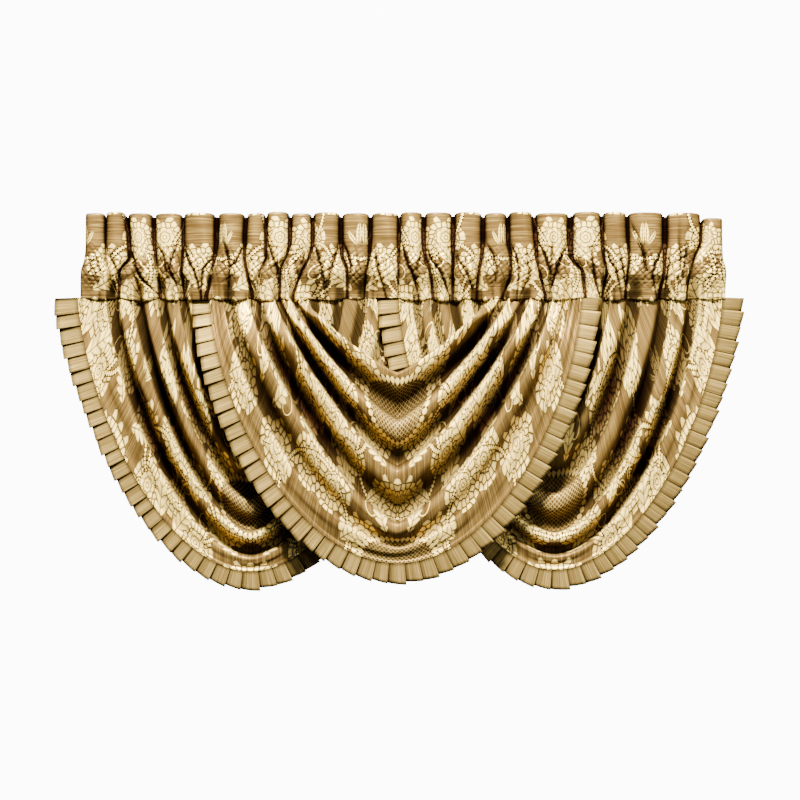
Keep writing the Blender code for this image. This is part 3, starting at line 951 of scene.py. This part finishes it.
RUFFLED_ENDS = (-0.552, 0.570)
TOP_HEIGHTS = (-1.0, 1.0, -1.2, -1.6, -0.4, -1.0, -1.0, 1.2, -1.4, 0.4, -1.2, -0.6, 0.6, 0.2, 0.8,
               -0.8, 1.2, -0.6, 1.4, 0.8, 0.4, -0.4, -10.0)
SLIT_TOP_DROP = 0.0060
COLUMNS_PER_PIPE = 40

# The sleeve's section: height, how far forward, and how deep the slits are
FRONT_SECTION = (
    (-0.1530, 0.0380, 0.0130),
    (-0.1400, 0.0405, 0.0150),
    (-0.1250, 0.0425, 0.0160),
    (-0.1100, 0.0430, 0.0165),
    (-0.1000, 0.0420, 0.0165),
    (-0.0900, 0.0400, 0.0165),
    (-0.0800, 0.0385, 0.0175),
    (-0.0700, 0.0375, 0.0195),
    (-0.0500, 0.0370, 0.0230),
    (-0.0300, 0.0365, 0.0240),
    (-0.0030, 0.0355, 0.0235),
    (0.0000, 0.0340, 0.0225),
)
BACK_SECTION = (
    (-0.0030, 0.0325, 0.0235),
    (-0.0300, 0.0325, 0.0240),
    (-0.0500, 0.0310, 0.0210),
    (-0.0820, 0.0230, 0.0080),
    (-0.0900, 0.0150, 0.0040),
    (-0.1000, 0.0080, 0.0030),
    (-0.1300, 0.0050, 0.0030),
    (-0.1530, 0.0035, 0.0000),
)
SEAM_BLEND = (-0.104, -0.152)
SEAM_OVERLAP = 0.0008

# How far the heading's edge hangs over the swags' tops, in millimetres at places across the photo
EDGE_DROPS = (
    (84, 1.0), (90, 4.0), (104, 6.5), (115, 1.2), (122, 2.0), (136, 8.5), (148, 7.0), (158, 1.4),
    (166, 5.5), (176, 7.5), (184, 3.0), (188, 6.8), (208, 7.4), (212, 2.0), (222, 7.0), (238, 9.5),
    (250, 2.0), (262, 7.5), (274, 8.5), (281, 1.6), (290, 8.0), (300, 9.0), (308, 2.0), (320, 6.0),
    (334, 8.0), (346, 1.4), (356, 4.0), (366, 1.0), (398, 1.0), (404, 5.0), (418, 8.5), (430, 1.6),
    (440, 7.5), (456, 9.5), (466, 2.0), (478, 8.0), (490, 6.5), (498, 1.4), (510, 8.5), (522, 6.0),
    (530, 1.6), (540, 6.0), (556, 8.0), (568, 4.0), (583, 0.9), (602, 0.9), (606, 5.0), (618, 8.5),
    (628, 1.4), (640, 7.0), (654, 9.0), (663, 1.4), (674, 6.5), (686, 7.5), (694, 1.2), (706, 5.0),
    (716, 6.0), (724, 2.4),
)
EDGE_LIFT = 0.40
SEAM_LEAST_FORWARD = 0.013
HEADING_PATTERN_UP = 0.183


def photo_x(pixels):
    return (np.array(pixels) - PHOTO_MIDDLE) * PIXEL


def photo_z(pixels):
    return (HEADING_TOP_PIXEL - np.array(pixels)) * PIXEL


def creases_at(table, z):
    """Where the table's creases are at a height, and how deep: two arrays."""
    heights = photo_z(CREASE_HEIGHTS)[::-1]
    rows = np.array(table)
    places = photo_x(rows[:, :5])[:, ::-1]
    depths = rows[:, 5:10][:, ::-1]
    at = np.clip(z, heights[0], heights[-1])
    track = np.column_stack([heights, places.T, depths.T])
    count = len(rows)
    places_here = np.array([curve_through(track, 1 + index, at) for index in range(count)])
    depths_here = np.array([np.interp(at, heights, depths[index]) for index in range(count)])
    return places_here, depths_here


# %% [markdown]
# The heading's lower edge follows the tops of the swags, so that each fold runs through the seam.
# The tops are read from the swags' own grids.

# %% The heading's surface
def top_edges():
    """Each swag's two top edges with their trims, as x, forward and painted shade."""
    edges = []
    for swag in (LEFT_SWAG, RIGHT_SWAG, CENTRE_SWAG):
        rows = swag_rows(swag)[len(TUCK) if swag["tuck"] else 0:]
        for side, column, way in (("left", 0, -1.0), ("right", -1, 1.0)):
            edge = rows[:, column]
            x = swag["middle"] + edge[:, 0]
            x = np.append(x, x[-1] + way * swag["trim"][side])
            forward = np.append(edge[:, 1], edge[-1, 1])
            # A little painted shade where the trim starts
            painted_shade = np.append(edge[:, 3], 0.3)
            edges.append(tuple(values[::int(way)] for values in (x, forward, painted_shade)))
    return edges


TOP_EDGES = top_edges()


def seam_profile(x):
    """How far forward the swags' tops are at the seam, and how much painted shade they have."""
    forward = np.full_like(x, -1.0)
    painted_shade = np.zeros_like(x)
    for edge_x, edge_forward, edge_painted_shade in TOP_EDGES:
        here = np.interp(x, edge_x, edge_forward, left=-1.0, right=-1.0)
        painted_shade = np.where(here > forward, np.interp(x, edge_x, edge_painted_shade), painted_shade)
        forward = np.maximum(forward, here)
    return forward, painted_shade


def crown(u, squareness):
    """How high a pipe stands across its width, where u runs from -1 to 1."""
    return np.clip(1.0 - np.abs(u) ** squareness, 0.0, 1.0) ** (1.0 / squareness)


def ridges(phase):
    """Thin sharp lines, one for each half turn of the phase."""
    return (1.0 - np.abs(np.sin(phase))) ** 3.4


def small_folds(x, z):
    """How deep the small folds and crumples are along one row, and how much painted shade they get."""
    places, depths = creases_at(DARTS, z)
    away = np.abs(x[:, None] - places[None, :])
    lip = np.clip(1.0 - away / DART_REACH, 0.0, 1.0) ** 1.5
    depth = DART_DEPTH * (lip * depths).max(axis=1)
    # Painted shade along each small fold, and over the crumples and ruffles below
    dark = (depths * (1.25 * np.exp(-(away / 0.0024) ** 2) + 0.45 * np.exp(-away / 0.0050))).max(axis=1)
    waist = math.exp(-((z - WAIST_Z) / (0.026 if z > WAIST_Z else 0.044)) ** 2)
    crumple = np.maximum(ridges(x * 250.0 + z * 150.0 + 1.6 * np.sin(z * 80.0 + x * 37.0)),
                         ridges(x * 190.0 - z * 240.0 + 1.4 * np.sin(x * 71.0 - z * 60.0)))
    ends = sum(np.exp(-((x - end) / 0.022) ** 2) for end in RUFFLED_ENDS)
    ruffle = np.clip(np.sin(z * 900.0 + x * 160.0), 0.0, 1.0) * ends
    depth = depth + waist * (CRUMPLE_DEPTH * crumple + RUFFLE_DEPTH * ruffle)
    return depth, dark + waist * (CRUMPLE_SHADE * crumple + RUFFLE_SHADE * ruffle)


def sleeve_row(z, forward, slit_depth, on_front):
    """One row of the sleeve, as x, forward, z and painted shade for each column."""
    places, depths = creases_at(SLITS, z)
    if not on_front:
        depths = np.minimum(depths + 0.3, 1.0)
    t = np.linspace(-1.0, 1.0, COLUMNS_PER_PIPE, endpoint=False)
    u = mixed(t, np.sin(t * math.pi / 2.0), 0.65)
    gaps = np.array(SLITS)[:, 10] * 0.0015 * mixed(1.0, 0.45, float(eased(-0.040, -0.085, z)))
    x, sunk, dark, pipe = [], [], [], []
    for index, (left, right) in enumerate(zip(places, places[1:])):
        half = (right - left) / 2.0
        gap = np.where(u < 0.0, gaps[index], gaps[index + 1]) / half
        side_depth = np.where(u < 0.0, depths[index], depths[index + 1])
        squareness = mixed(1.9, 2.3, float(eased(-0.090, -0.040, z)))
        x.append((left + right) / 2.0 + u * half)
        sunk.append(side_depth * (1.0 - crown(np.clip(np.abs(u) / (1.0 - gap), 0.0, 1.0), squareness)))
        # Painted shade in each slit and on the pipe's edge beside it
        away = np.clip(1.0 - np.abs(u) - gap, 0.0, 1.0) * half
        dark.append(side_depth * (0.95 * np.exp(-(away / 0.0034) ** 2) + 0.50 * np.exp(-away / 0.0060)))
        pipe.append(np.full(len(u), index))
    x = np.append(np.concatenate(x), places[-1])
    sunk = np.append(np.concatenate(sunk), depths[-1])
    painted_shade = np.clip(np.append(np.concatenate(dark), depths[-1]), 0.0, 1.0)
    pipe = np.append(np.concatenate(pipe), len(places) - 2)
    bulge = 0.0012 * np.sin(pipe * 2.1) + 0.0010 * np.sin(x * 150.0 + z * 45.0)
    near_top = float(eased(-0.045, 0.0, z))
    higher = np.array(TOP_HEIGHTS)[pipe] * 0.001
    lowered = near_top * (SLIT_TOP_DROP * np.clip(sunk, 0.0, 1.0) ** 1.5 - higher)
    depth = slit_depth * sunk
    if not on_front:
        return np.stack([x, forward - depth, z - lowered, painted_shade], axis=1)
    fold, fold_dark = small_folds(x, z)
    depth = np.maximum(depth, fold) + 0.35 * np.minimum(depth, fold)
    painted_shade = np.clip(np.maximum(painted_shade, fold_dark), 0.0, 1.0)
    # The swags' painted shade carries up into the seam
    seam_forward, seam_painted_shade = seam_profile(x)
    sewn = float(eased(*SEAM_BLEND, z))
    near_seam = float(eased(-0.112, -0.148, z))
    bottom = np.maximum(seam_forward, SEAM_LEAST_FORWARD) + SEAM_OVERLAP
    here = mixed(forward + bulge, bottom, sewn) - depth * (1.0 - sewn ** 3)
    return np.stack([x, here, z - lowered, np.maximum(painted_shade, seam_painted_shade * near_seam)], axis=1)


def section_rows(section, count):
    """Reads a section table at evenly spaced steps along it."""
    table = np.array(section)
    along = lengths_along(table[:, :2])
    wanted = np.linspace(0.0, along[-1], count)
    return np.stack([np.interp(wanted, along, column) for column in table.T], axis=1)


def build_heading():
    front = section_rows(FRONT_SECTION, 78)
    back = section_rows(BACK_SECTION, 22)
    rows = [sleeve_row(*row, True) for row in front] + [sleeve_row(*row, False) for row in back]
    edge, under = rows[0].copy(), rows[0].copy()
    places, drops = np.array(EDGE_DROPS).T
    drop = np.interp(edge[:, 0], photo_x(places), drops * 0.001)
    edge[:, 1] += drop * EDGE_LIFT
    edge[:, 2] -= drop
    under[:, 1] = np.maximum(seam_profile(under[:, 0])[0], 0.006) - SEAM_OVERLAP
    under[:, 2] -= drop / 2.0
    # Full painted shade on the row tucked under the edge
    under[:, 3] = 1.0
    rows = np.array([under, edge] + rows)
    points = np.stack([rows[..., 0], forward_to_y(rows[..., 1]), rows[..., 2]], axis=-1)
    cloth_u = lengths_along(points.transpose(1, 0, 2)).T.mean(axis=0)[None, :]
    cloth_v = lengths_along(rows.mean(axis=1)[:, 1:3])[:, None] + HEADING_PATTERN_UP
    obj = cloth_from_grid("heading_cloth", points, cloth_u, cloth_v, rows[..., 3], heading_jacquard)
    print("Spread out, the heading's cloth is", round(float(cloth_u.max()), 2), "metres wide and",
          round(float(cloth_v.max() - cloth_v.min()), 2), "metres from edge to edge")
    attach(obj, "root")
    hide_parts("heading")
    return obj


heading_cloth = build_heading()

# %% [markdown]
# ## Studio and camera
#
# The photo was taken straight from the front with a long lens, on pure white. The backdrop here is
# a pale dome that glows for the camera but lights nothing, so the folds keep their deep shade. One
# strong light from above models them, a weak one fills the right side, and a third is behind the
# valance, where it only shows when the back is looked at.

# %% Studio
BACKDROP_BRIGHTNESS = 12.0
DOME_RADIUS = 9.0
DOME_CENTRE_Z = -0.4
FLOOR_RADIUS = 8.0
FLOOR_Z = -2.3


def glowing(name):
    material, _, shader = new_material(name)
    shader.inputs["Base Color"].default_value = (0.0, 0.0, 0.0, 1.0)
    shader.inputs["Specular IOR Level"].default_value = 0.0
    shader.inputs["Emission Color"].default_value = (1.0, 1.0, 1.0, 1.0)
    shader.inputs["Emission Strength"].default_value = BACKDROP_BRIGHTNESS
    return material


def lights_nothing(obj, material):
    """Shows a piece of the studio to the camera only."""
    obj.data.materials.append(material)
    obj.visible_diffuse = False
    obj.visible_glossy = False
    obj.visible_shadow = False


bpy.ops.object.select_all(action="DESELECT")
bpy.ops.mesh.primitive_uv_sphere_add(segments=48, ring_count=24, radius=DOME_RADIUS,
                                     location=(0.0, 0.0, DOME_CENTRE_Z))
bpy.context.active_object.name = "studio_dome"
lights_nothing(bpy.context.active_object, glowing("studio_white"))
bpy.ops.mesh.primitive_circle_add(vertices=64, radius=FLOOR_RADIUS, fill_type="NGON",
                                  location=(0.0, 0.0, FLOOR_Z))
bpy.context.active_object.name = "studio_floor"
lights_nothing(bpy.context.active_object, glowing("studio_floor"))


def area_light(name, place, target, size, power, colour):
    light = bpy.data.lights.new(name, "AREA")
    light.shape = "DISK"
    light.size = size
    light.energy = power
    light.color = colour
    lamp = bpy.data.objects.new(name, light)
    lamp.location = place
    lamp.rotation_euler = (Vector(target) - Vector(place)).to_track_quat("-Z", "Y").to_euler()
    bpy.context.scene.collection.objects.link(lamp)


MIDDLE = (0.0, 0.0, -0.34)
area_light("key", (-0.05, -1.70, 2.05), MIDDLE, 0.5, 990.0, (1.0, 0.98, 0.95))
area_light("fill", (1.4, -2.8, 0.3), MIDDLE, 1.6, 46.0, (0.93, 0.96, 1.0))
area_light("from_behind", (0.7, 2.9, 0.9), MIDDLE, 2.4, 260.0, (1.0, 0.98, 0.95))

world = bpy.data.worlds.new("studio")
world.use_nodes = True
world.node_tree.nodes["Background"].inputs["Color"].default_value = (0.86, 0.92, 1.0, 1.0)
world.node_tree.nodes["Background"].inputs["Strength"].default_value = 0.042
bpy.context.scene.world = world

# %% Camera
DISTANCE = 4.0
SENSOR = 36.0
NEAREST_CLOTH_Y = -0.02
lens = bpy.data.cameras.new("camera")
lens.sensor_width = SENSOR
lens.lens = SENSOR * DISTANCE / (PHOTO_WIDTH * PIXEL)
camera = bpy.data.objects.new("camera", lens)
camera.location = (0.0, NEAREST_CLOTH_Y - DISTANCE, -(PHOTO_WIDTH / 2 - HEADING_TOP_PIXEL) * PIXEL)
camera.rotation_euler = (math.pi / 2.0, 0.0, 0.0)
bpy.context.scene.collection.objects.link(camera)
bpy.context.scene.camera = camera
